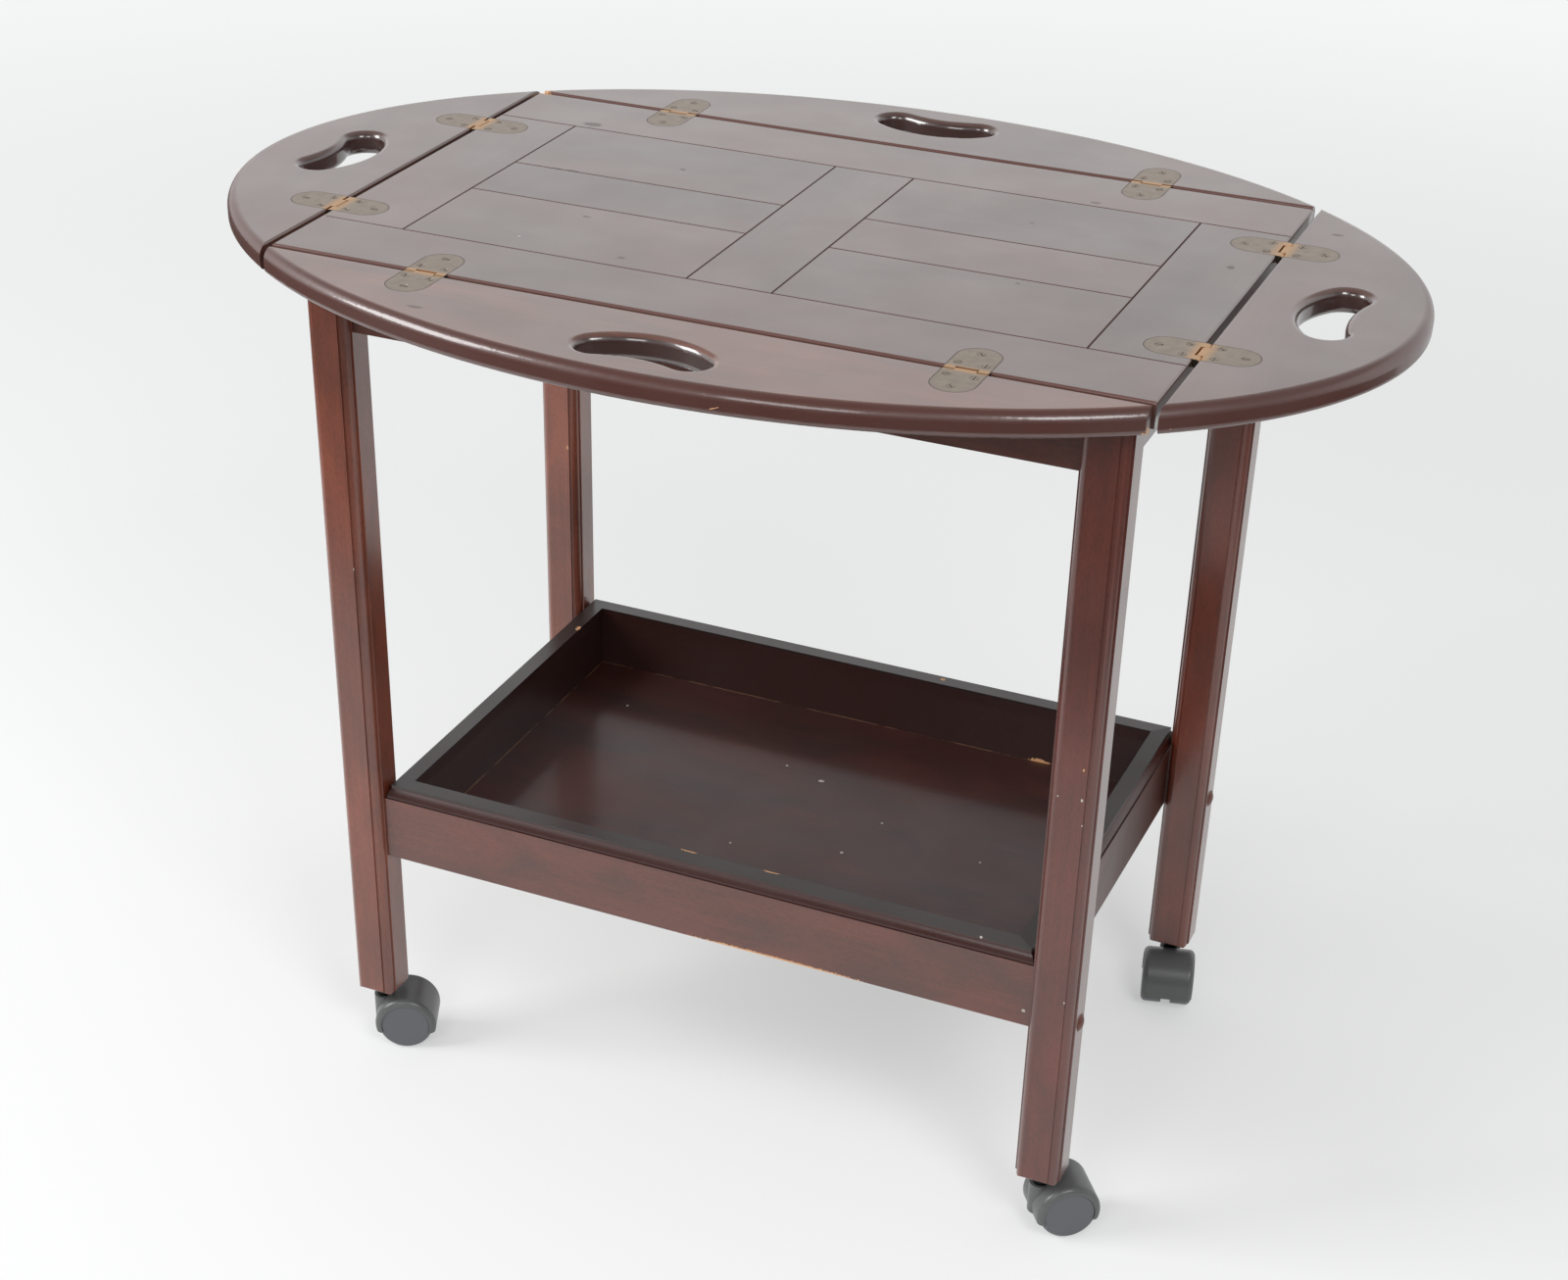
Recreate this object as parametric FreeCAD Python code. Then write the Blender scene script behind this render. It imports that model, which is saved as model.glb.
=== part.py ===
import FreeCAD, Part
import math
import os

# Oval tea trolley: a fixed centre panel with four hinged leaves on a moulded four-leg frame,
# with a fixed tray low between the legs and four twin-wheel castors. Millimetres.
# +X runs along the trolley, +Y to the back, +Z up. The origin is on the floor under the centre.

# Top board: the centre panel and the leaves are cut from one thickness.
table_height = 624.0
board_thickness = 16.0
panel_length = 578.0
panel_width = 362.0
oval_length = 806.0
oval_width = 553.0
leaf_gap = 4.0
leaf_end_relief = 1.5
oval_top_round = 7.0
oval_bottom_round = 4.0
panel_end_round = 1.5
panel_side_round = 1.5
leaf_inner_round = 1.5

# V-grooves that divide the panel into rails, stiles and planks.
groove_width = 1.5
groove_depth = 1.0
rail_groove_y = 121.0
stile_groove_x = 229.0
centre_stile_x = 28.6
plank_groove_y = 30.4

# Kidney-shaped hand-holes: two end circles, a belly arc on the inner side and a waist outside.
# The flat wood left on a hole's two sides is shared out: these shares lie on the inner side.
hole_end_radius = 12.5
hole_centre_spacing = 60.0
hole_belly = 22.5
hole_waist = 7.0
end_leaf_share = 0.46
long_leaf_share = 0.684
hole_top_round = 5.0
hole_bottom_round = 4.5

# Butler's tray hinges, flush with the top face; each plate is half of a rounded bar.
hinge_width = 28.0
hinge_reach = 35.0
hinge_thickness = 2.0
hinge_fit = 0.15
knuckle_radius = 2.6
knuckle_gap = 0.3
centre_knuckle = 13.7
plate_notch = 2.75
pin_radius = 1.2
pin_clearance = 0.05
side_hinge_spacing = 192.0
long_hinge_spacing = 354.0
screw_head_radius = 2.8
screw_shank_radius = 1.5
screw_cover = 3.0
screw_slot_width = 0.9
screw_slot_depth = 0.8
screw_near = 9.5
screw_near_spread = 17.0
screw_tip = 26.0

# Legs, moulded on all four corners: a quirk, a quarter round and a quirk.
leg_size = 32.0
leg_inset_x = 13.5
leg_inset_y = 8.0
leg_quirk = 1.2
leg_quarter_round = 5.8
leg_foot_chamfer = 2.5

# Aprons between the legs, with dowelled joints and screwed corner blocks.
apron_height = 41.0
apron_thickness = 16.0
rail_setback = 8.5
dowel_radius = 4.0
dowel_in_leg = 11.0
dowel_in_apron = 15.0
dowel_pitch = 18.0
dowel_stagger = 9.0
block_height = 30.0
block_leg = 52.0
block_screw_radius = 2.0
block_head_radius = 3.5
block_head_height = 2.2
block_screw_bite = 10.0
block_screw_seat = 12.0
block_screw_inset = 20.0
top_screw_bite = 10.0
top_screw_sink = 4.0

# Tray: four mitred walls with a moulded top edge, and a floor let into grooves.
tray_bottom = 169.0
tray_wall_height = 58.0
tray_wall_thickness = 16.0
tray_floor_thickness = 6.0
tray_floor_rise = 4.0
tray_groove = 5.0
tray_groove_slack = 0.5
rim_step_in = 4.0
rim_step_drop = 2.8
rim_ovolo_height = 7.0
rim_quirk = 1.0

# Tray screws through the legs, each under a domed cap.
tray_screw_height = 177.0
tray_screw_radius = 2.5
tray_screw_length = 60.0
tray_head_radius = 4.5
tray_head_height = 3.0
counterbore_radius = 5.0
counterbore_depth = 6.0
cap_radius = 6.5
cap_dome = 2.5
cap_spigot = 2.4

# Twin-wheel castors on plain stems that turn in sockets let into the legs.
leg_clearance = 48.0
wheel_radius = 20.0
wheel_face_radius = 17.0
wheel_face = 19.0
wheel_tread_end = 14.5
wheel_inner_face = 3.75
wheel_recess_inner = 6.0
wheel_recess_outer = 16.0
wheel_recess_wall = 3.0
hood_clearance = 0.6
hood_radius = 22.75
hood_lip_radius = 18.8
hood_half_width = 19.5
hood_lower_edge = 14.0
axle_radius = 3.0
axle_clearance = 0.05
axle_end = 17.0
axle_end_play = 0.4
castor_trail = 16.5
boss_radius = 7.75
boss_top = 38.0
spigot_radius = 2.5
spigot_bottom = 24.0
stem_radius = 5.5
stem_clearance = 0.05
stem_top_gap = 2.0
socket_wall = 1.4
socket_depth = 38.0
flange_radius = 9.0
flange_thickness = 1.0
castor_turn = {"front_left": 24.0, "front_right": 36.0, "back_left": 15.0, "back_right": -75.0}

# Places that follow from the sizes above.
top_z = table_height
board_z = table_height - board_thickness
pin_z = top_z - knuckle_radius
leg_x = panel_length / 2 - leg_inset_x - leg_size / 2
leg_y = panel_width / 2 - leg_inset_y - leg_size / 2
leg_inner_x = leg_x - leg_size / 2
leg_inner_y = leg_y - leg_size / 2
rail_outer_x = leg_x + leg_size / 2 - rail_setback
rail_outer_y = leg_y + leg_size / 2 - rail_setback
apron_z = board_z - apron_height
tray_top = tray_bottom + tray_wall_height
tray_floor_z = tray_bottom + tray_floor_rise + tray_floor_thickness
over = 20.0     # how far cutting tools run past the stock

vec = FreeCAD.Vector
origin = vec(0, 0, 0)
up = vec(0, 0, 1)
side_turn = {"right": 0.0, "back": 90.0, "left": 180.0, "front": 270.0}
corners = {"front_left": (-1, -1), "front_right": (1, -1), "back_left": (-1, 1), "back_right": (1, 1)}


def box(low, high):
    size = vec(*high) - vec(*low)
    return Part.makeBox(size.x, size.y, size.z, vec(*low))


def prism(points, direction):
    corner_points = [vec(*p) for p in points]
    wire = Part.makePolygon(corner_points + corner_points[:1])
    return Part.Face(wire).extrude(vec(*direction))


def arc(start, middle, end):
    return Part.Arc(vec(*start), vec(*middle), vec(*end)).toShape()


def line(start, end):
    return Part.LineSegment(vec(*start), vec(*end)).toShape()


def face_of(edges):
    return Part.Face(Part.Wire(Part.__sortEdges__(edges)))


def turned(shape, side):
    copy = shape.copy()
    copy.rotate(origin, up, side_turn[side])
    return copy


def moved(shape, x, y, z):
    copy = shape.copy()
    copy.translate(vec(x, y, z))
    return copy


def fused(shapes):
    whole = shapes[0]
    for shape in shapes[1:]:
        whole = whole.fuse(shape)
    return whole.removeSplitter()


def cut_all(stock, tools):
    return stock.cut(tools) if tools else stock


def export(name, solids):
    shape = solids[0] if len(solids) == 1 else Part.makeCompound(solids)
    shape.exportStep("parts/" + name + ".step")
    print(name, len(shape.Solids), "solid(s)", round(shape.Volume / 1000.0, 2), "cm3", shape.isValid())


# ---- Top ----

def half_length(side):
    return panel_length / 2 if side in ("left", "right") else panel_width / 2


def hinge_places(side):
    spacing = side_hinge_spacing if side in ("left", "right") else long_hinge_spacing
    return (-spacing / 2, spacing / 2)


def arris_cutter(radius, edge_x, length, sign):
    # Leaves a quarter round on a top arris at x = edge_x; the board lies on the side of -sign.
    inner = edge_x - sign * radius
    outer = edge_x + sign * over
    bend = radius * (1 - math.sqrt(0.5))
    edges = [
        line((inner, 0, top_z), (inner, 0, top_z + over)),
        line((inner, 0, top_z + over), (outer, 0, top_z + over)),
        line((outer, 0, top_z + over), (outer, 0, top_z - radius)),
        line((outer, 0, top_z - radius), (edge_x, 0, top_z - radius)),
        arc((edge_x, 0, top_z - radius), (edge_x - sign * bend, 0, top_z - bend), (inner, 0, top_z)),
    ]
    return moved(face_of(edges).extrude(vec(0, length, 0)), 0, -length / 2, 0)


def groove_cutter(start, end):
    # A V-groove in the top face from start to end, both (x, y).
    run = vec(end[0] - start[0], end[1] - start[1], 0)
    side = vec(-run.y, run.x, 0).normalize() * (groove_width / 2)
    flare = side * (1 + over / groove_depth)
    base = vec(start[0], start[1], 0)
    points = [base + vec(0, 0, top_z - groove_depth)]
    points.append(base + flare + vec(0, 0, top_z + over))
    points.append(base - flare + vec(0, 0, top_z + over))
    return prism([tuple(p) for p in points], tuple(run))


def panel_grooves():
    half = panel_length / 2
    tools = []
    for sign in (-1, 1):
        y = sign * rail_groove_y
        tools.append(groove_cutter((-half - over, y), (half + over, y)))
        for x in (stile_groove_x, centre_stile_x):
            tools.append(groove_cutter((sign * x, -rail_groove_y), (sign * x, rail_groove_y)))
        for y in (-plank_groove_y, plank_groove_y):
            near, far = sorted((sign * centre_stile_x, sign * stile_groove_x))
            tools.append(groove_cutter((near, y), (far, y)))
    return tools


def hinge_outline(start, width, z_low, z_high, sign):
    # Half of a rounded bar that runs from start to the hinge's reach, away from the pin line.
    centre = hinge_reach - hinge_width / 2
    reach_x = sorted((sign * start, sign * centre))
    straight = box((reach_x[0], -width / 2, z_low), (reach_x[1], width / 2, z_high))
    tip = Part.makeCylinder(width / 2, z_high - z_low, vec(sign * centre, 0, z_low))
    return straight.fuse(tip)


def hinge_recess(sign):
    # The sunk place for the plate, with a hollow groove for the knuckle along the pin line.
    width = hinge_width + 2 * hinge_fit
    plate_space = hinge_outline(0, width, top_z - hinge_thickness, top_z + over, sign)
    start = vec(0, -width / 2, pin_z)
    return plate_space.fuse(Part.makeCylinder(knuckle_radius + hinge_fit, width, start, vec(0, 1, 0)))


def wood_screw(x, y, slot_angle):
    cone = screw_head_radius - screw_shank_radius
    length = board_thickness - screw_cover
    head = Part.makeCone(screw_shank_radius, screw_head_radius, cone, vec(0, 0, top_z - cone))
    shank = Part.makeCylinder(screw_shank_radius, length - cone, vec(0, 0, top_z - length))
    reach = screw_head_radius + 1
    slot = box(
        (-reach, -screw_slot_width / 2, top_z - screw_slot_depth),
        (reach, screw_slot_width / 2, top_z + 1),
    )
    slot.rotate(origin, up, slot_angle)
    return moved(head.fuse(shank).removeSplitter().cut(slot), x, y, 0), moved(head.fuse(shank), x, y, 0)


def hinge_screws(sign, first_angle):
    spread = screw_near_spread / 2
    places = ((screw_near, -spread), (screw_near, spread), (screw_tip, 0))
    return [wood_screw(sign * x, y, first_angle + 47 * i) for i, (x, y) in enumerate(places)]


def knuckle_spans(owner):
    half = centre_knuckle / 2
    if owner == "leaf":
        return [(-half, half)]
    return [(-hinge_width / 2, -half - knuckle_gap), (half + knuckle_gap, hinge_width / 2)]


def hinge_plate(owner, sign):
    z_low = top_z - hinge_thickness
    parts = [hinge_outline(plate_notch, hinge_width, z_low, top_z, sign)]
    for start, end in knuckle_spans(owner):
        reach_x = sorted((0, sign * (plate_notch + 1)))
        parts.append(box((reach_x[0], start, z_low), (reach_x[1], end, top_z)))
        parts.append(Part.makeCylinder(knuckle_radius, end - start, vec(0, start, pin_z), vec(0, 1, 0)))
    bore = pin_radius + (pin_clearance if owner == "leaf" else 0)
    pin_hole = Part.makeCylinder(bore, hinge_width + 2, vec(0, -hinge_width / 2 - 1, pin_z), vec(0, 1, 0))
    return fused(parts).cut(pin_hole)


def top_panel():
    half_x = panel_length / 2
    half_y = panel_width / 2
    board = box((-half_x, -half_y, board_z), (half_x, half_y, top_z))
    tools = panel_grooves()
    for side in side_turn:
        round_over = panel_end_round if side in ("left", "right") else panel_side_round
        tools.append(turned(arris_cutter(round_over, half_length(side), 2 * panel_length, 1), side))
        pin_x = half_length(side) + leaf_gap / 2
        for y in hinge_places(side):
            tools.append(turned(moved(hinge_recess(-1), pin_x, y, 0), side))
    return cut_all(board, tools)


def leaf_blank(reach, half_width, inner, half_run):
    # Local frame: x points outwards, y runs along the leaf. The oval's outline between two points,
    # closed by the straight inner edge, with short straight ends where half_run cuts the oval off.
    if reach > half_width:
        axis_ends = (vec(-reach, 0, board_z), vec(0, -half_width, board_z))
    else:
        axis_ends = (vec(0, half_width, board_z), vec(-reach, 0, board_z))
    ellipse = Part.Ellipse(*axis_ends, vec(0, 0, board_z))
    end_y = min(half_run, half_width * math.sqrt(1 - (inner / reach) ** 2))
    end_x = reach * math.sqrt(1 - (end_y / half_width) ** 2)
    first = vec(end_x, -end_y, board_z)
    last = vec(end_x, end_y, board_z)
    rim = Part.ArcOfEllipse(ellipse, ellipse.parameter(first), ellipse.parameter(last)).toShape()
    inner_ends = [vec(inner, end_y, board_z), vec(inner, -end_y, board_z)]
    edges = [rim, line(*inner_ends)]
    if end_x - inner > 0.01:
        edges.append(line(last, inner_ends[0]))
        edges.append(line(inner_ends[1], first))
    blank = face_of(edges).extrude(vec(0, 0, board_thickness))
    for z, radius in ((top_z, oval_top_round), (board_z, oval_bottom_round)):
        rims = [e for e in blank.Edges if e.BoundBox.ZLength < 0.01 and e.BoundBox.XMax > end_x + 1]
        blank = blank.makeFillet(radius, [e for e in rims if abs(e.BoundBox.ZMax - z) < 0.01])
    return blank


def kidney(height):
    # Local frame: x points outwards to the waist, y runs along the leaf.
    half = hole_centre_spacing / 2
    r = hole_end_radius
    belly_radius = (half**2 + hole_belly**2 - r**2) / (2 * (hole_belly - r))
    waist_radius = (half**2 + hole_waist**2 - r**2) / (2 * (r - hole_waist))
    belly_centre = belly_radius - hole_belly
    waist_centre = waist_radius + hole_waist
    belly_length = math.hypot(half, belly_centre)
    waist_length = math.hypot(half, waist_centre)
    belly_end = (belly_centre * (1 - belly_radius / belly_length), half * belly_radius / belly_length)
    waist_end = (waist_centre * r / waist_length, half * (1 - r / waist_length))
    far = (r * math.sin(0.5), half + r * math.cos(0.5))
    edges = [
        arc((belly_end[0], -belly_end[1], 0), (-hole_belly, 0, 0), (belly_end[0], belly_end[1], 0)),
        arc((belly_end[0], belly_end[1], 0), (far[0], far[1], 0), (waist_end[0], waist_end[1], 0)),
        arc((waist_end[0], waist_end[1], 0), (hole_waist, 0, 0), (waist_end[0], -waist_end[1], 0)),
        arc((waist_end[0], -waist_end[1], 0), (far[0], -far[1], 0), (belly_end[0], -belly_end[1], 0)),
    ]
    return face_of(edges).extrude(vec(0, 0, height))


def round_hole(leaf_shape, hole_x):
    # The hole's rims are the only flat circular edges near its centre line.
    reach = hole_centre_spacing / 2 + hole_end_radius + 2
    for z, radius in ((top_z, hole_top_round), (board_z, hole_bottom_round)):
        rims = []
        for e in leaf_shape.Edges:
            centre = e.CenterOfMass
            flat = e.BoundBox.ZLength < 0.01 and abs(centre.z - z) < 0.01
            near = abs(centre.x - hole_x) < reach and e.Length < 4 * reach
            if flat and near and e.Curve.TypeId == "Part::GeomCircle":
                rims.append(e)
        leaf_shape = leaf_shape.makeFillet(radius, rims)
    return leaf_shape


def hole_line(inner, reach, inner_share):
    # The distance out of the hole's centre line, from the wood left between its rounds and the rims.
    hole_depth = hole_belly + hole_end_radius + 2 * hole_top_round
    spare = reach - oval_top_round - inner - leaf_inner_round - hole_depth
    return inner + leaf_inner_round + inner_share * spare + hole_top_round + hole_belly


def leaf(side):
    inner = half_length(side) + leaf_gap
    if side in ("left", "right"):
        shape = leaf_blank(oval_length / 2, oval_width / 2, inner, oval_width)
        hole_x = hole_line(inner, oval_length / 2, end_leaf_share)
    else:
        shape = leaf_blank(oval_width / 2, oval_length / 2, inner, panel_length / 2 - leaf_end_relief)
        hole_x = hole_line(inner, oval_width / 2, long_leaf_share)
    shape = shape.cut(moved(kidney(board_thickness + 2), hole_x, 0, board_z - 1))
    shape = round_hole(shape, hole_x)
    tools = [arris_cutter(leaf_inner_round, inner, 2 * oval_length, -1)]
    pin_x = inner - leaf_gap / 2
    for y in hinge_places(side):
        tools.append(moved(hinge_recess(1), pin_x, y, 0))
    return turned(cut_all(shape, tools), side)


def build_top():
    panel = top_panel()
    panel_screws = []
    pins = []
    for number, side in enumerate(side_turn):
        pin_x = half_length(side) + leaf_gap / 2
        leaf_shape = leaf(side)
        plates = {"panel": [], "leaf": []}
        screws = {"panel": [], "leaf": []}
        blanks = {"panel": [], "leaf": []}
        for place, y in enumerate(hinge_places(side)):
            for owner, sign in (("panel", -1), ("leaf", 1)):
                plate = turned(moved(hinge_plate(owner, sign), pin_x, y, 0), side)
                for screw, blank in hinge_screws(sign, 31 * (number + 4 * place) + 90 * sign):
                    screws[owner].append(turned(moved(screw, pin_x, y, 0), side))
                    blanks[owner].append(turned(moved(blank, pin_x, y, 0), side))
                plates[owner].append(plate.cut(blanks[owner][-3:]))
            pin_start = vec(pin_x, y - hinge_width / 2, pin_z)
            pins.append(turned(Part.makeCylinder(pin_radius, hinge_width, pin_start, vec(0, 1, 0)), side))
        panel = panel.cut(blanks["panel"])
        panel_screws.extend(screws["panel"])
        export("leaf_" + side, [leaf_shape.cut(blanks["leaf"])])
        export("panel_hinge_plates_" + side, plates["panel"])
        export("leaf_hinge_plates_" + side, plates["leaf"])
        export("leaf_hinge_screws_" + side, screws["leaf"])
    export("hinge_pins", pins)
    export("panel_hinge_screws", panel_screws)
    return panel


# ---- Frame ----

def leg_section():
    half = leg_size / 2
    edge = half - leg_quirk - leg_quarter_round
    face_line = half - leg_quirk
    bend = edge + leg_quarter_round * math.sqrt(0.5)
    pieces = []
    for quarter in range(4):
        shapes = [
            line((half, -edge, 0), (half, edge, 0)),
            line((half, edge, 0), (face_line, edge, 0)),
            arc((face_line, edge, 0), (bend, bend, 0), (edge, face_line, 0)),
            line((edge, face_line, 0), (edge, half, 0)),
        ]
        for shape in shapes:
            shape.rotate(origin, up, 90 * quarter)
            pieces.append(shape)
    return face_of(pieces)


def leg_blank():
    height = board_z - leg_clearance
    moulded = moved(leg_section().extrude(vec(0, 0, height)), 0, 0, leg_clearance)
    half = leg_size / 2
    stock = box((-half, -half, leg_clearance), (half, half, board_z))
    foot = [e for e in stock.Edges if e.BoundBox.ZMax < leg_clearance + 0.01]
    return moulded.common(stock.makeChamfer(leg_foot_chamfer, foot))


def dowel_heights(stagger):
    middle = apron_z + apron_height / 2
    low = middle - dowel_pitch / 2 - dowel_stagger / 2
    return (low + stagger, low + stagger + dowel_pitch)


def corner_dowels(sx, sy):
    length = dowel_in_leg + dowel_in_apron
    dowels = []
    y = sy * (rail_outer_y - apron_thickness / 2)
    x = sx * (rail_outer_x - apron_thickness / 2)
    for z in dowel_heights(0):
        start = vec(sx * (leg_inner_x - dowel_in_apron), y, z)
        dowels.append(Part.makeCylinder(dowel_radius, length, start, vec(sx, 0, 0)))
    for z in dowel_heights(dowel_stagger):
        start = vec(x, sy * (leg_inner_y - dowel_in_apron), z)
        dowels.append(Part.makeCylinder(dowel_radius, length, start, vec(0, sy, 0)))
    return dowels


def headed_screw(tip, direction, length, radius, head_radius, head_height, well):
    # The screw, and the hole it needs with a well over its head.
    end = tip - direction * length
    shank = Part.makeCylinder(radius, length, end, direction)
    head = Part.makeCylinder(head_radius, head_height, end - direction * head_height, direction)
    depth = head_height + well
    hole = Part.makeCylinder(head_radius, depth, end - direction * depth, direction)
    return shank.fuse(head).removeSplitter(), shank.fuse(hole)


def corner_block(sx, sy):
    x_face = rail_outer_x - apron_thickness
    y_face = rail_outer_y - apron_thickness
    points = [
        (leg_inner_x - block_leg, y_face),
        (leg_inner_x, y_face),
        (leg_inner_x, leg_inner_y),
        (x_face, leg_inner_y),
        (x_face, leg_inner_y - block_leg),
    ]
    low = board_z - block_height
    return prism([(sx * x, sy * y, low) for x, y in points], (0, 0, block_height))


def block_screws(sx, sy):
    z = board_z - block_height / 2
    x_face = rail_outer_x - apron_thickness
    y_face = rail_outer_y - apron_thickness
    length = block_screw_bite + block_screw_seat
    sizes = (block_screw_radius, block_head_radius, block_head_height, 2 * block_leg)
    x = sx * (leg_inner_x - block_screw_inset)
    y = sy * (leg_inner_y - block_screw_inset)
    along_y = headed_screw(vec(x, sy * (y_face + block_screw_bite), z), vec(0, sy, 0), length, *sizes)
    along_x = headed_screw(vec(sx * (x_face + block_screw_bite), y, z), vec(sx, 0, 0), length, *sizes)
    return [along_y, along_x]


def top_screw(sx, sy):
    length = block_height + top_screw_bite - block_head_height - top_screw_sink
    x = sx * (leg_inner_x - block_screw_inset / 2)
    y = sy * (leg_inner_y - block_screw_inset / 2)
    tip = vec(x, y, board_z + top_screw_bite)
    sizes = (block_screw_radius, block_head_radius, block_head_height, over)
    return headed_screw(tip, up, length, *sizes)


def apron_blank(side):
    # Local frame: x points outwards; the apron runs along y between two legs.
    if side in ("left", "right"):
        outer = rail_outer_x
        half_run = leg_inner_y
    else:
        outer = rail_outer_y
        half_run = leg_inner_x
    return turned(box((outer - apron_thickness, -half_run, apron_z), (outer, half_run, board_z)), side)


# ---- Tray ----

def tray_wall(side):
    # Local frame: x points outwards. The moulded section runs along y and is mitred at both ends.
    if side in ("left", "right"):
        outer = leg_inner_x
        half_run = rail_outer_y
    else:
        outer = rail_outer_y
        half_run = leg_inner_x
    inner = outer - tray_wall_thickness
    step_z = tray_top - rim_step_drop
    foot_z = step_z - rim_ovolo_height
    step_x = outer - rim_step_in
    quirk_x = outer - rim_quirk
    rise = quirk_x - step_x
    radius = (rise**2 + rim_ovolo_height**2) / (2 * rise)
    half_turn = math.asin(rim_ovolo_height / radius) / 2
    middle = (quirk_x - radius * (1 - math.cos(half_turn)), foot_z + radius * math.sin(half_turn))
    edges = [
        line((inner, 0, tray_bottom), (outer, 0, tray_bottom)),
        line((outer, 0, tray_bottom), (outer, 0, foot_z)),
        line((outer, 0, foot_z), (quirk_x, 0, foot_z)),
        arc((quirk_x, 0, foot_z), (middle[0], 0, middle[1]), (step_x, 0, step_z)),
        line((step_x, 0, step_z), (step_x, 0, tray_top)),
        line((step_x, 0, tray_top), (inner, 0, tray_top)),
        line((inner, 0, tray_top), (inner, 0, tray_bottom)),
    ]
    stick = moved(face_of(edges).extrude(vec(0, 2 * half_run, 0)), 0, -half_run, 0)
    inner_run = half_run - tray_wall_thickness
    plan = [(outer, -half_run), (outer, half_run), (inner, inner_run), (inner, -inner_run)]
    mitre = prism([(x, y, tray_bottom - 1) for x, y in plan], (0, 0, tray_wall_height + 2))
    return turned(stick.common(mitre), side)


def tray_floor(slack):
    half_x = leg_inner_x - tray_wall_thickness + tray_groove - slack
    half_y = rail_outer_y - tray_wall_thickness + tray_groove - slack
    low = tray_floor_z - tray_floor_thickness
    return box((-half_x, -half_y, low), (half_x, half_y, tray_floor_z))


def tray_screw(sx, sy):
    face_x = leg_x + leg_size / 2
    y = sy * (rail_outer_y - tray_wall_thickness / 2)
    seat = face_x - counterbore_depth
    tip = vec(sx * (seat - tray_screw_length), y, tray_screw_height)
    screw, _ = headed_screw(
        tip, vec(-sx, 0, 0), tray_screw_length, tray_screw_radius, tray_head_radius, tray_head_height, 0
    )
    shank = Part.makeCylinder(tray_screw_radius, tray_screw_length, tip, vec(sx, 0, 0))
    well = Part.makeCylinder(
        counterbore_radius, counterbore_depth + over, vec(sx * seat, y, tray_screw_height), vec(sx, 0, 0)
    )
    return screw, shank.fuse(well)


def screw_cap(sx, sy):
    face_x = leg_x + leg_size / 2
    y = sy * (rail_outer_y - tray_wall_thickness / 2)
    sphere_radius = (cap_radius**2 + cap_dome**2) / (2 * cap_dome)
    ball = Part.makeSphere(sphere_radius, vec(face_x + cap_dome - sphere_radius, 0, 0))
    dome = ball.common(box((face_x, -cap_radius, -cap_radius), (face_x + cap_dome, cap_radius, cap_radius)))
    spigot = Part.makeCylinder(counterbore_radius, cap_spigot, vec(face_x - cap_spigot, 0, 0), vec(1, 0, 0))
    cap = dome.fuse(spigot)
    if sx < 0:
        cap.rotate(origin, up, 180)
    return moved(cap, 0, y, tray_screw_height)


def build_frame(panel):
    legs = {}
    tools = {}
    dowels = []
    screws = []
    blocks = []
    top_screws = []
    tray_screws = []
    caps = []
    sockets = []
    for corner, (sx, sy) in corners.items():
        pegs = corner_dowels(sx, sy)
        into_rails = block_screws(sx, sy)
        into_top, top_hole = top_screw(sx, sy)
        bolt, bolt_hole = tray_screw(sx, sy)
        place = (sx * leg_x, sy * leg_y, 0)
        leg_tools = pegs + [bolt_hole, moved(socket_bore(), *place)]
        legs[corner] = moved(leg_blank(), *place).cut(leg_tools)
        tools[corner] = pegs + [hole for _, hole in into_rails] + [bolt_hole]
        dowels.extend(pegs)
        screws.extend([screw for screw, _ in into_rails])
        blocks.append(corner_block(sx, sy).cut([hole for _, hole in into_rails] + [top_hole]))
        top_screws.append(into_top)
        panel = panel.cut(into_top)
        tray_screws.append(bolt)
        caps.append(screw_cap(sx, sy))
        sockets.append(moved(socket(), *place))
    all_tools = [tool for group in tools.values() for tool in group]
    groove = tray_floor(0)
    for corner, shape in legs.items():
        export("leg_" + corner, [shape])
    for side in side_turn:
        export("apron_" + side, [apron_blank(side).cut(all_tools)])
        export("tray_wall_" + side, [tray_wall(side).cut(all_tools + [groove])])
    export("top_panel", [panel])
    export("tray_floor", [tray_floor(tray_groove_slack)])
    export("apron_dowels", dowels)
    export("corner_blocks", blocks)
    export("corner_block_screws", screws)
    export("top_screws", top_screws)
    export("tray_screws", tray_screws)
    export("tray_screw_caps", caps)
    export("castor_sockets", sockets)


# ---- Castors ----

def socket_radius():
    return stem_radius + stem_clearance + socket_wall


def socket_bore():
    return Part.makeCylinder(socket_radius(), socket_depth + 1, vec(0, 0, leg_clearance - 1))


def socket():
    tube = Part.makeCylinder(socket_radius(), socket_depth, vec(0, 0, leg_clearance))
    flange = Part.makeCylinder(flange_radius, flange_thickness, vec(0, 0, leg_clearance - flange_thickness))
    bore = Part.makeCylinder(
        stem_radius + stem_clearance, socket_depth + over, vec(0, 0, leg_clearance - flange_thickness - 1)
    )
    return tube.fuse(flange).removeSplitter().cut(bore)


def lathe(points, sign):
    # Turns a section about the axle; points are (distance along the axle, radius), with one arc
    # through the last three but one for the rounded shoulder.
    flat = [(castor_trail, sign * w, wheel_radius + r) for w, r in points]
    edges = [line(flat[0], flat[1]), line(flat[1], flat[2]), arc(*flat[2:5])]
    edges.append(line(flat[4], flat[5]))
    edges.append(line(flat[5], flat[0]))
    return face_of(edges).revolve(vec(castor_trail, 0, wheel_radius), vec(0, 1, 0), 360)


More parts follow.
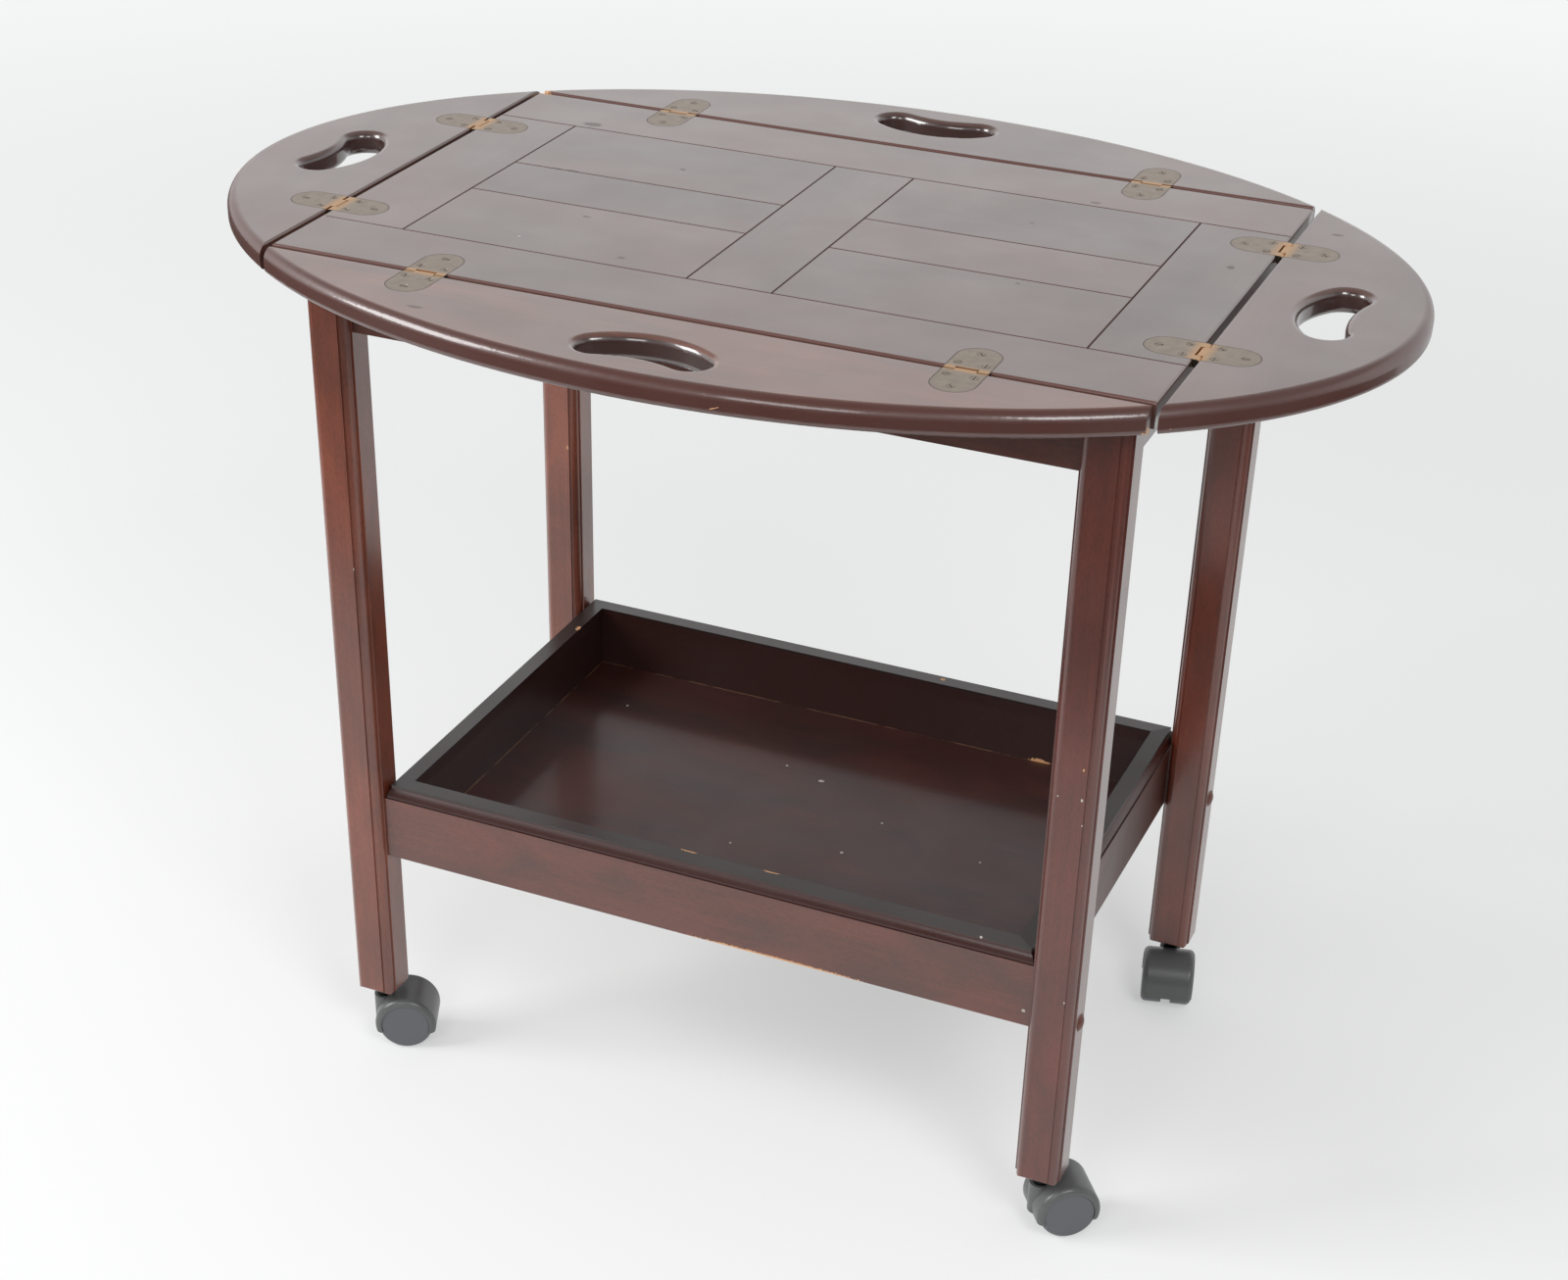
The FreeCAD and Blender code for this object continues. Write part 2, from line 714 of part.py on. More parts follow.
def shoulder(tread_end, tread, face, lip):
    # The middle of a quarter-ellipse shoulder from the tread to the outer face.
    return (tread_end + (face - tread_end) * math.sqrt(0.5), lip + (tread - lip) * math.sqrt(0.5))


def wheel_form(sign, growth):
    inner = wheel_inner_face - growth
    tread = wheel_radius + growth
    face = wheel_face + growth
    lip = wheel_face_radius + growth
    bend = shoulder(wheel_tread_end, tread, face, lip)
    points = [(inner, 0), (inner, tread), (wheel_tread_end, tread), bend, (face, lip), (face, 0)]
    return lathe(points, sign)


def wheel(sign):
    centre = vec(castor_trail, sign * wheel_inner_face, wheel_radius)
    outwards = vec(0, sign, 0)
    bore = Part.makeCylinder(
        axle_radius + axle_clearance, axle_end + axle_end_play - wheel_inner_face, centre, outwards
    )
    depth = wheel_face - wheel_recess_wall - wheel_inner_face
    recess = Part.makeCylinder(wheel_recess_outer, depth, centre, outwards)
    hub = Part.makeCylinder(wheel_recess_inner, depth, centre, outwards)
    return wheel_form(sign, 0).cut(bore).cut(recess.cut(hub))


def hood():
    bend = shoulder(wheel_tread_end, hood_radius, hood_half_width, hood_lip_radius)
    halves = []
    for sign in (-1, 1):
        points = [(0, 0), (0, hood_radius), (wheel_tread_end, hood_radius), bend]
        points += [(hood_half_width, hood_lip_radius), (hood_half_width, 0)]
        halves.append(lathe(points, sign))
    boss = Part.makeCylinder(boss_radius, boss_top - hood_lower_edge, vec(0, 0, hood_lower_edge))
    body = fused(halves + [boss])
    clearance = hood_clearance
    spaces = [wheel_form(sign, clearance) for sign in (-1, 1)]
    for sign in (-1, 1):
        face_y = sign * (wheel_face + clearance)
        centre = vec(castor_trail, face_y, wheel_radius)
        spaces.append(Part.makeCylinder(wheel_face_radius + clearance, over, centre, vec(0, sign, 0)))
    wide = 3 * hood_radius
    below = box((-wide, -wide, -over), (wide, wide, hood_lower_edge))
    return body.cut(spaces + [below, axle(), stem()])


def stem():
    top = leg_clearance + socket_depth - stem_top_gap
    post = Part.makeCylinder(stem_radius, top - boss_top, vec(0, 0, boss_top))
    spigot = Part.makeCylinder(spigot_radius, boss_top - spigot_bottom, vec(0, 0, spigot_bottom))
    return post.fuse(spigot).removeSplitter()


def axle():
    start = vec(castor_trail, -axle_end, wheel_radius)
    return Part.makeCylinder(axle_radius, 2 * axle_end, start, vec(0, 1, 0))


def build_castors():
    pieces = {"stem": stem(), "hood": hood(), "axle": axle(), "wheel_near": wheel(-1), "wheel_far": wheel(1)}
    for corner, (sx, sy) in corners.items():
        for name, shape in pieces.items():
            placed = shape.copy()
            placed.rotate(origin, up, castor_turn[corner])
            export("castor_" + corner + "_" + name, [moved(placed, sx * leg_x, sy * leg_y, 0)])


os.makedirs("parts", exist_ok=True)
build_frame(build_top())
build_castors()
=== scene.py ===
import math

import bpy
from mathutils import Euler, Matrix, Vector


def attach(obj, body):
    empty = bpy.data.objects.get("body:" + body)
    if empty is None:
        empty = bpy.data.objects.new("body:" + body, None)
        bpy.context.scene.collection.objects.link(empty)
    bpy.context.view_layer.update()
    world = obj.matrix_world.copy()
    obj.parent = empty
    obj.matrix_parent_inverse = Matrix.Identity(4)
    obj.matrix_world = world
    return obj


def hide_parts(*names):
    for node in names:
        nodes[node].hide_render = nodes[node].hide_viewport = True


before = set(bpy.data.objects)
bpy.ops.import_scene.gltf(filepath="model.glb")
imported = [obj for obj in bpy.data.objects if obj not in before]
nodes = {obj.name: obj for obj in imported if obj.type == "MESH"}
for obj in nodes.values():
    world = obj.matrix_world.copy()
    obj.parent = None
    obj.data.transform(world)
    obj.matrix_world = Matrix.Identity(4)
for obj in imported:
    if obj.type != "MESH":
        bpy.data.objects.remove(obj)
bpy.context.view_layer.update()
sides = {"right": 0, "back": 90, "left": 180, "front": 270}    # degrees each side is turned from the right
corners = ("front_left", "front_right", "back_left", "back_right")


def linear(hexColour):  # sRGB hex to the linear values that the shaders take
    channels = [int(hexColour[i:i + 2], 16) / 255 for i in (1, 3, 5)]
    return [c / 12.92 if c <= 0.04045 else ((c + 0.055) / 1.055) ** 2.4 for c in channels] + [1.0]


def perMetre(size):  # how often a pattern of this size, in millimetres, repeats in a metre
    return 1000.0 / size


def metres(*sizes):
    return [size / 1000.0 for size in sizes]


def addNode(tree, kind, options, inputs):  # a value that is a socket is linked, any other is set
    made = tree.nodes.new("ShaderNode" + kind)
    for name, value in options.items():
        setattr(made, name, value)
    for name, value in inputs.items():
        if isinstance(value, bpy.types.NodeSocket):
            tree.links.new(value, made.inputs[name])
        else:
            made.inputs[name].default_value = value
    return made


def maths(tree, operation, *values):
    return addNode(tree, "Math", {"operation": operation}, dict(enumerate(values))).outputs[0]


def vectorMaths(tree, operation, *values):  # the node, as its result is a vector or a value
    return addNode(tree, "VectorMath", {"operation": operation}, dict(enumerate(values)))


def distance(tree, vector):  # from the vector's origin
    return vectorMaths(tree, "LENGTH", vector).outputs["Value"]


def blend(tree, share, under, over):  # two numbers
    return addNode(tree, "Mix", {"data_type": "FLOAT"}, {0: share, 2: under, 3: over}).outputs[0]


def blendColour(tree, share, under, over):
    return addNode(tree, "Mix", {"data_type": "RGBA"}, {0: share, 6: under, 7: over}).outputs[2]


def shadeColour(tree, colour, shade):
    return addNode(tree, "VectorMath", {"operation": "SCALE"}, {0: colour, "Scale": shade}).outputs[0]


def spread(tree, value, span, result=(0.0, 1.0), smooth=False):  # takes a span of values to another
    options = {"interpolation_type": "SMOOTHSTEP"} if smooth else {}
    return addNode(tree, "MapRange", options, {
        "Value": value, "From Min": span[0], "From Max": span[1],
        "To Min": result[0], "To Max": result[1]}).outputs[0]


def objectCoords(tree):
    return addNode(tree, "TexCoord", {}, {}).outputs["Object"]


def noise(tree, coords, scale, detail, **others):
    inputs = {"Vector": coords, "Scale": scale, "Detail": detail, **others}
    return addNode(tree, "TexNoise", {}, inputs).outputs["Fac"]


def localCoords(tree, coords, middle, reach, turn=0):  # 0 at a place, 1 away at its reach
    return addNode(tree, "Mapping", {"vector_type": "TEXTURE"}, {
        "Vector": coords, "Location": metres(*middle), "Rotation": (0, math.radians(turn), 0),
        "Scale": metres(*reach)}).outputs[0]


def newMaterial(name, **shaderValues):  # a material with only its shader, and the shader's own values
    material = bpy.data.materials.new(name)
    material.use_nodes = True
    tree = material.node_tree
    tree.nodes.clear()
    values = {socket.replace("_", " "): value for socket, value in shaderValues.items()}
    shader = addNode(tree, "BsdfPrincipled", {}, values)
    addNode(tree, "OutputMaterial", {}, {"Surface": shader.outputs[0]})
    return material, tree, shader


def finishNodes(material, *names):
    for name in names:
        for materialSlot in nodes[name].material_slots:
            materialSlot.material = material


# Beech stained to mahogany under a sprayed satin lacquer: the stain gives a mottled red-brown that
# swallows most of the grain, and the smooth coat mirrors the pale room as a soft grey sheen.
# Sizes are in millimetres, and a span is the part of a noise over which its effect comes in.
mahogany = {
    "stain": "#853f26",
    "deepStain": "#5c2a1a",
    "contrast": 0.5,          # the span over which the stain goes from deep to light
    "grainWidth": 2.2,        # across and along one streak
    "grainLength": 90.0,
    "grainDetail": 4.0,
    "grainRoughness": 0.6,
    "cloudSize": 46.0,        # the blotches where the stain took unevenly
    "cloudStretch": 2.2,
    "cloudWarp": 0.6,
    "cloudShare": 0.72,
    "fleckWidth": 0.8,        # beech's short dark flecks, drawn a little coarse so that they show
    "fleckLength": 3.2,
    "fleckDetail": 2.0,
    "fleckSpan": (0.42, 0.68),
    "fleckShare": 0.25,
    "poreDepth": 0.008,
    "poreStrength": 0.3,
    "rough": (0.38, 0.5),     # from the clearer to the hazier places
    "hazeSize": 60.0,
    "hazeDetail": 2.0,
    "hazeSpan": (0.3, 0.7),
    "coatWeight": 1.0,
    "coatRoughness": 0.2,
    "gloss": 1.52,            # the lacquer's index of refraction
}
topMahogany = dict(mahogany, cloudSize=85.0, fleckShare=0.1, gloss=1.68, coatRoughness=0.12)
leafMahogany = dict(topMahogany, stain="#5c392f", deepStain="#442a22")
frontLeafMahogany = dict(topMahogany, stain="#744230", deepStain="#4a2c23", cloudSize=62.0)
panelMahogany = dict(topMahogany, stain="#5a372e", deepStain="#40271f")
# Each leg has its own stain, lighter or darker to match how much light that leg gets: painted light and
# shade laid over one mahogany.
legStainsWithPaintedShade = {
    "front_left": mahogany,
    "front_right": dict(mahogany, stain="#692818", deepStain="#471c11"),
    "back_left": dict(mahogany, stain="#94482b", deepStain="#67301e"),
    "back_right": dict(mahogany, stain="#76301a", deepStain="#512314"),
}
wallMahogany = dict(mahogany, stain="#672c1b", deepStain="#441f14")
# A darker stain and a thinner coat for the tray's right wall: painted shade for the shade that side lies in.
shadedWallMahogany = dict(wallMahogany, stain="#512317", deepStain="#371910", coatWeight=0.3)
trayMahogany = dict(mahogany, stain="#451a12", deepStain="#28100c", fleckWidth=0.9, fleckLength=1.3,
                    fleckShare=0.3, coatWeight=0.5, coatRoughness=0.15, gloss=1.5)

# Places given their own colour: a middle, a reach, the colour and the share of the coat lost. In the
# hand-holes it is painted shade on the recess walls; on the tray it is the rim's, moulding's and inner
# faces' darker colour.
# Painted shade: the hand-holes' walls darkened for the shade inside those recesses.
holePaintedShade = "#33150e"
trayPlaces = (
    ((0, 0, 221.2), (300, 300, 4.1), "#38140d", 0.55),     # the rim's moulding
    ((0, 0, 199), (227.7, 148.7, 27), "#2d120d", 0.0),     # the walls' inner faces
    ((0, 0, 226.6), (300, 300, 1.3), "#211311", 0.45),     # the rim's flat top
)
stainedAndShadedPlaces = {
    "leaf_front": (((0, -235.5, 615.4), (47, 27, 6.9), holePaintedShade, 0.0),),
    "leaf_back": (((0, 235.5, 615.4), (47, 27, 6.9), holePaintedShade, 0.0),),
    "leaf_left": (((-343.5, 0, 615.4), (27, 47, 6.9), holePaintedShade, 0.0),),
    "leaf_right": (((343.5, 0, 615.4), (27, 47, 6.9), holePaintedShade, 0.0),),
    "tray_wall_front": trayPlaces,
    "tray_wall_back": trayPlaces,
    "tray_wall_left": trayPlaces,
    "tray_wall_right": trayPlaces,
}
ovalEdgeShade = {                   # the oval's rounded edge, darker and redder with less coat: painted shade for the dark room its curve mirrors
    "reach": (396.5, 270.0, 1e6),
    "span": (0.996, 1.008),
    "stain": "#4a2118",
    "coatLoss": 0.6,
}

# Where the lacquer is chipped, spotted or smudged: a place, a reach and a turn in the front view.
chips = {
    "leaf_front": (
        ((147, -265.5, 619.5), (3.8, 2.5, 1.6), 0), ((163, -262.5, 619.8), (3.0, 2.0, 1.0), 4),
        ((184, -255.5, 620.4), (13, 3, 0.6), 8), ((-251, -206, 620), (2.2, 2.2, 1.6), 0),
        ((144, -273.5, 615), (7.5, 1.6, 0.4), -38), ((286.5, -190, 609.5), (4.0, 4.0, 2.5), 0),
        ((-60, -270, 620.3), (5, 1.6, 0.4), 0), ((30, -272.5, 620.2), (8, 1.6, 0.35), 0),
        ((100, -271, 612), (2.2, 1.6, 0.4), 10), ((60, -274, 613), (3.0, 1.6, 0.3), -20),
    ),
    "leaf_back": (((16.6, 227.2, 623.5), (2.2, 1.2, 1.4), 0), ((-286, 189, 620), (5, 5, 6), 0)),
    "leaf_left": (((-300, -186, 610), (1.4, 1.4, 1.6), 0),),
    "leaf_right": (((298, -184, 612), (1.3, 1.3, 2.0), 0),),
    "top_panel": (((-283, 180.5, 621.5), (7.5, 3.5, 4), 0),),
    "tray_wall_front": (
        ((60, -164.5, 169), (60, 2.0, 1.3), 0), ((-12, -148.5, 227), (7, 1.0, 0.8), 0),
        ((50, -148.5, 227), (6, 1.0, 0.8), 0),
    ),
    "tray_wall_back": (
        ((143.7, 148.5, 179.4), (7.5, 1.8, 2.0), 0), ((60, 156, 227), (2.2, 1.4, 1.0), 0),
    ),
    "tray_wall_left": (((-229, 109.7, 227), (1.6, 3.6, 1.2), 0),),
    "leg_back_left": (((-251.7, 141, 364), (0.9, 0.9, 1.6), 0),),
    "leg_front_right": (((265.8, -173, 375.8), (0.5, 1.0, 1.3), 0),),
}
specks = {
    "tray_floor": (
        ((4.9, 50.8, 179), (2.4, 1.6, 1), 20), ((-27.4, 60.9, 179), (1.0, 1.0, 1), 0),
        ((56.8, -35, 179), (1.2, 1.2, 1), 0), ((68.2, 14.7, 179), (0.9, 0.9, 1), 0),
        ((24.6, -100.1, 179), (1.1, 0.9, 1), 0), ((-177.3, 91.2, 179), (0.9, 1.1, 1), 0),
        ((151.2, -4.5, 179), (0.8, 0.8, 1), 0), ((-21.1, -57.6, 179), (0.8, 0.8, 1), 0),
    ),
    "tray_wall_front": (
        ((238.7, -164.5, 180.5), (1.2, 1.2, 1.2), 0), ((205, -161, 226.5), (1.2, 1.2, 1.4), 0),
    ),
    "leg_front_right": (
        ((275, -173, 195), (1.1, 1.1, 1.4), 0), ((272, -173, 205), (0.7, 1.1, 1.0), 0),
        ((275.5, -172, 55), (1.6, 1.4, 2.6), 0), ((268, -173, 201), (0.7, 1.1, 0.8), 0),
        ((247.1, -173, 359), (0.9, 1.0, 1.1), 0), ((250.7, -173, 353.6), (0.6, 1.0, 0.6), 0),
        ((266.5, -173, 354.2), (0.8, 1.0, 1.0), 0), ((269.9, -173, 351.5), (0.8, 1.0, 0.7), 0),
        ((268.1, -173, 336.1), (0.6, 1.0, 0.6), 0), ((269.9, -173, 326.5), (0.7, 1.0, 0.7), 0),
    ),
    "leg_front_left": (((-250, -173, 400), (0.9, 1.0, 1.3), 0),),
    "top_panel": (((-156, -99.5, 624), (0.9, 0.9, 1), 0), ((150, 30, 624), (0.7, 0.7, 1), 0)),
}
smudges = {
    "top_panel": (
        ((-119.3, 67.6, 624), (2.2, 1.8, 1), 0), ((-219.5, 129.7, 624), (7, 4.0, 1), 0),
        ((-197.1, 30.8, 624), (4.5, 1.2, 1), 0), ((-185, 31.5, 624), (5, 1.1, 1), 0),
        ((-134.9, -47.3, 624), (2.8, 1.5, 1), 0), ((-80.3, -106, 624), (2.6, 1.8, 1), 0),
        ((155, 128.1, 624), (3.5, 2.0, 1), 0), ((268.8, 48.1, 624), (2.4, 3.2, 1), 0),
        ((130, 71, 624), (1.6, 1.3, 1), 0), ((158, -38, 624), (1.8, 1.5, 1), 0),
    ),
    "leaf_front": (((-153.5, -236.3, 624), (5, 1.6, 1), 0),),
    "leaf_right": (((315.3, 137.6, 624), (3.5, 2.0, 1), 0),),
}
raggedEdge = {                # of each of these marks
    "size": 1.6,
    "detail": 3.0,
    "depth": 1.8,             # as a share of the mark's reach, half of it inwards
}
seamWear = {                  # the thin pale line where the tray's floor meets its walls
    "node": "tray_floor",
    "middle": (0, 0, 179),
    "outer": (227.9, 148.9, 3),
    "inner": (226.9, 147.9, 5),
    "breakSize": 14.0,
    "breakDetail": 4.0,
    "breakSpan": (0.42, 0.62),
}
arrises = {                   # the edges along the open joints, rubbed back to a redder stain
    "top_panel": (((0, -181, 623.5), (289, 1.5, 1.7)), ((0, 181, 623.5), (289, 1.5, 1.7))),
    "leaf_front": (((0, -185, 623.5), (300, 1.3, 1.7)),),
    "leaf_back": (((0, 185, 623.5), (300, 1.3, 1.7)),),
}
marking = {                   # each kind's colour, and how much of the stain it covers
    "bareWood": ("#c4946a", 1.0),
    "speck": ("#a9a39a", 1.0),
    "smudge": ("#1c110f", 0.45),
    "groove": ("#4a2a22", 1.0),
    "seam": ("#b08a68", 0.5),
    "arris": ("#5c2d21", 0.65),
}
bareSurface = {"rough": 0.75, "coatLoss": 0.85}

# The panel's boards: rails along the front and back, three stiles across, and planks between them.
panelBoards = {
    "node": "top_panel",
    "railGroove": 121.0,                # how far from the middle each groove lies
    "stileGroove": 229.0,
    "centreStile": 28.6,
    "plankGroove": 30.4,
    "grooveMiddle": (0, 0, 623.4),      # the box that holds the grooves and not the top face
    "grooveReach": (286.8, 178.8, 0.54),
    "toneSpread": 0.22,
}


def grainScale(axis, across, along):
    scale = [perMetre(across)] * 3
    scale["xyz".index(axis)] = perMetre(along)
    return scale


def markMask(tree, coords, marks):  # 1 on ragged spots, each within an ellipsoid of its own reach
    ragged = noise(tree, coords, perMetre(raggedEdge["size"]), raggedEdge["detail"])
    uneven = maths(tree, "MULTIPLY_ADD", ragged, raggedEdge["depth"], -raggedEdge["depth"] / 2)
    mask = 0.0
    for place, reach, turn in marks:
        away = distance(tree, localCoords(tree, coords, place, reach, turn))
        inside = maths(tree, "LESS_THAN", maths(tree, "ADD", away, uneven), 1.0)
        mask = maths(tree, "MAXIMUM", mask, inside)
    return mask


def boardGrain(tree, coords):
    # Gives each board of the panel its own stretch of grain, turned along the board, and its own tone.
    boards = {name: panelBoards[name] / 1000
              for name in ("railGroove", "stileGroove", "centreStile", "plankGroove")}
    x, y, z = addNode(tree, "SeparateXYZ", {}, {0: coords}).outputs
    counts = []
    for axis, lines in ((x, ("stileGroove", "centreStile")), (y, ("railGroove", "plankGroove"))):
        count = 0.0
        for line in lines:
            for sign in (-1, 1):
                count = maths(tree, "ADD", count, maths(tree, "GREATER_THAN", axis, sign * boards[line]))
        counts.append(count)
    absX = maths(tree, "ABSOLUTE", x)
    absY = maths(tree, "ABSOLUTE", y)
    inFrame = maths(tree, "LESS_THAN", absY, boards["railGroove"])
    outerStile = maths(tree, "GREATER_THAN", absX, boards["stileGroove"])
    centreStile = maths(tree, "LESS_THAN", absX, boards["centreStile"])
    stile = maths(tree, "MULTIPLY", maths(tree, "MAXIMUM", outerStile, centreStile), inFrame)
    plank = maths(tree, "SUBTRACT", 1.0, stile)
    column = maths(tree, "MULTIPLY", counts[0], inFrame)
    row = maths(tree, "MULTIPLY", counts[1], plank)
    board = addNode(tree, "CombineXYZ", {}, {0: column, 1: row, 2: stile}).outputs[0]
    own = addNode(tree, "TexWhiteNoise", {"noise_dimensions": "3D"}, {"Vector": board})
    across = addNode(tree, "CombineXYZ", {}, {0: y, 1: x, 2: z}).outputs[0]
    turned = addNode(tree, "Mix", {"data_type": "VECTOR"}, {0: stile, 4: coords, 5: across}).outputs[1]
    shifted = vectorMaths(tree, "ADD", turned, own.outputs["Color"]).outputs[0]
    toneSpread = panelBoards["toneSpread"]
    return shifted, maths(tree, "MULTIPLY_ADD", own.outputs["Value"], toneSpread, -toneSpread / 2)


def boxMask(tree, coords, middle, reach):  # 1 inside a box
    away = vectorMaths(tree, "ABSOLUTE", localCoords(tree, coords, middle, reach)).outputs[0]
    x, y, z = addNode(tree, "SeparateXYZ", {}, {0: away}).outputs
    most = maths(tree, "MAXIMUM", maths(tree, "MAXIMUM", x, y), z)
    return maths(tree, "LESS_THAN", most, 1.0)


def ovalShadeMask(tree, coords):  # 1 on the rounded edge of the oval, where its painted shade goes
    out = distance(tree, localCoords(tree, coords, (0, 0, 0), ovalEdgeShade["reach"]))
    return spread(tree, out, ovalEdgeShade["span"], smooth=True)


def seamMask(tree, coords):  # a thin broken line between two boxes' outlines
    outer, inner = (boxMask(tree, coords, seamWear["middle"], seamWear[edge]) for edge in ("outer", "inner"))
    broken = noise(tree, coords, perMetre(seamWear["breakSize"]), seamWear["breakDetail"])
    faint = spread(tree, broken, seamWear["breakSpan"])
    return maths(tree, "MULTIPLY", maths(tree, "SUBTRACT", outer, inner), faint)


def lacqueredWood(name, node, axis, look):
    material, tree, shader = newMaterial(
        name, IOR=look["gloss"], Coat_IOR=look["gloss"],
        Coat_Weight=look["coatWeight"], Coat_Roughness=look["coatRoughness"])
    coords = objectCoords(tree)
    boards = node == panelBoards["node"]
    grainCoords, tone = boardGrain(tree, coords) if boards else (coords, 0.0)

    def stretched(width, length):
        return addNode(tree, "Mapping", {}, {
            "Vector": grainCoords, "Scale": grainScale(axis, width, length)}).outputs[0]

    streaks = noise(tree, stretched(look["grainWidth"], look["grainLength"]), 1.0, look["grainDetail"],
                    Roughness=look["grainRoughness"])
    cloud = noise(tree, stretched(look["cloudSize"], look["cloudSize"] * look["cloudStretch"]), 1.0,
                  look["grainDetail"], Distortion=look["cloudWarp"])
    toned = maths(tree, "ADD", blend(tree, look["cloudShare"], streaks, cloud), tone)
    span = (0.5 - look["contrast"] / 2, 0.5 + look["contrast"] / 2)
    colour = blendColour(tree, spread(tree, toned, span, smooth=True),
                         linear(look["deepStain"]), linear(look["stain"]))
    flecks = noise(tree, stretched(look["fleckWidth"], look["fleckLength"]), 1.0, look["fleckDetail"])
    shade = spread(tree, flecks, look["fleckSpan"], (1.0, 1.0 - look["fleckShare"]))
    dulled = 0.0
    # each place's colour is a darker stain on the tray, and painted shade in the hand-holes
    for middle, reach, stain, coatLoss in stainedAndShadedPlaces.get(node, ()):
        within = boxMask(tree, coords, middle, reach)
        colour = blendColour(tree, within, colour, linear(stain))
        if coatLoss:
            dulled = maths(tree, "MAXIMUM", dulled, maths(tree, "MULTIPLY", within, coatLoss))
    if node.startswith("leaf"):
        # The rounded edge takes a darker stain and loses coat: painted shade.
        edge = ovalShadeMask(tree, coords)
        colour = blendColour(tree, edge, colour, linear(ovalEdgeShade["stain"]))
        dulled = maths(tree, "MULTIPLY", edge, ovalEdgeShade["coatLoss"])
    colour = shadeColour(tree, colour, shade)
    haze = noise(tree, coords, perMetre(look["hazeSize"]), look["hazeDetail"])
    rough = spread(tree, haze, look["hazeSpan"], look["rough"])

    masks = []
    if boards:
        grooves = boxMask(tree, coords, panelBoards["grooveMiddle"], panelBoards["grooveReach"])
        masks.append((grooves, "groove"))
    for middle, reach in arrises.get(node, ()):
        masks.append((boxMask(tree, coords, middle, reach), "arris"))
    if node == seamWear["node"]:
        masks.append((seamMask(tree, coords), "seam"))
    for marks, kind in ((chips, "bareWood"), (specks, "speck"), (smudges, "smudge")):
        if node in marks:
            masks.append((markMask(tree, coords, marks[node]), kind))
    bare = 0.0
    for mask, kind in masks:
        markColour, cover = marking[kind]
        mask = maths(tree, "MULTIPLY", mask, cover)
        colour = blendColour(tree, mask, colour, linear(markColour))
        bare = maths(tree, "MAXIMUM", bare, mask)
    if masks or node in stainedAndShadedPlaces:
        rough = blend(tree, bare, rough, bareSurface["rough"])
        worn = maths(tree, "MAXIMUM", bare, dulled)
        weight = look["coatWeight"]
        lacquer = maths(tree, "MULTIPLY_ADD", worn, -bareSurface["coatLoss"] * weight, weight)
        tree.links.new(lacquer, shader.inputs["Coat Weight"])
    bump = addNode(tree, "Bump", {}, {
        "Strength": look["poreStrength"], "Distance": look["poreDepth"] / 1000, "Height": flecks})
    tree.links.new(colour, shader.inputs["Base Color"])
    tree.links.new(rough, shader.inputs["Roughness"])
    tree.links.new(bump.outputs[0], shader.inputs["Normal"])
    return material


def finishWood():
    finishes = [
        ("panel", "top_panel", "x", panelMahogany),
        ("tray_floor", "tray_floor", "x", trayMahogany),
        ("blocks", "corner_blocks", "z", mahogany),
    ]
    for side in sides:
        axis = "x" if side in ("front", "back") else "y"
        leafLook = frontLeafMahogany if side == "front" else leafMahogany
        # the tray's right wall takes the darker stain of painted shade
        wallLook = shadedWallMahogany if side == "right" else wallMahogany
        for part, look in (("leaf", leafLook), ("apron", wallMahogany), ("tray_wall", wallLook)):
            finishes.append((part + "_" + side, part + "_" + side, axis, look))
    for corner in corners:
        finishes.append(("leg_" + corner, "leg_" + corner, "z", legStainsWithPaintedShade[corner]))
    for name, node, axis, look in finishes:
        finishNodes(lacqueredWood("mahogany_" + name, node, axis, look), node)
    print("wood finished")


finishWood()


# Brass let into the top and never polished: a dull grey patina, worn bright along the knuckles.
agedBrass = {
    "patina": "#b5a498",
    "darkPatina": "#8d8476",
    "worn": "#d8ac80",
    "patchSize": 6.0,
    "patchDetail": 5.0,
    "rough": 0.4,
    "grimeAndShade": "#5d554b",       # greyish dirt and painted shade along the plates' outlines and in the screws' rims and slots
    "halfLength": 35.0,
    "halfWidth": 14.0,
    "outline": 0.9,
    "places": ((0, 291.0, 96.0), (1, 177.0, 183.0)),    # the long side's axis, and a corner plate's middle
    "bands": ((0, 291.0, 5.6), (1, 183.0, 3.4)),        # the pin line's axis and place, and the band's reach
    "bandSpan": (0.2, 1.8),   # the reaches over which the wear fades out
    "bandShare": 0.85,
}


def offLine(tree, value, line):  # how far a value is from this line and its mirror image
    return maths(tree, "ABSOLUTE", maths(tree, "SUBTRACT", maths(tree, "ABSOLUTE", value), line / 1000))


def plateOutline(tree, place):
    # 1 on the outline of every hinge: a stadium round each middle, mirrored to the four corners.
    straight = (agedBrass["halfLength"] - agedBrass["halfWidth"]) / 1000
    insides = []
    for along, *middle in agedBrass["places"]:
        offs = [offLine(tree, place[axis], middle[axis]) for axis in (0, 1)]
        past = maths(tree, "MAXIMUM", maths(tree, "SUBTRACT", offs[along], straight), 0.0)
        away = distance(tree, addNode(tree, "CombineXYZ", {}, {0: past, 1: offs[1 - along]}).outputs[0])
        insides.append(maths(tree, "SUBTRACT", agedBrass["halfWidth"] / 1000, away))
    return spread(tree, maths(tree, "MAXIMUM", *insides), (0.0, agedBrass["outline"] / 1000), (1.0, 0.0))


def wornBand(tree, place):  # 1 along the knuckles, fading out over the plates
    shares = [maths(tree, "DIVIDE", offLine(tree, place[axis], pinLine), reach / 1000)
              for axis, pinLine, reach in agedBrass["bands"]]
    nearest = maths(tree, "MINIMUM", *shares)
    return spread(tree, nearest, agedBrass["bandSpan"], (agedBrass["bandShare"], 0.0), smooth=True)


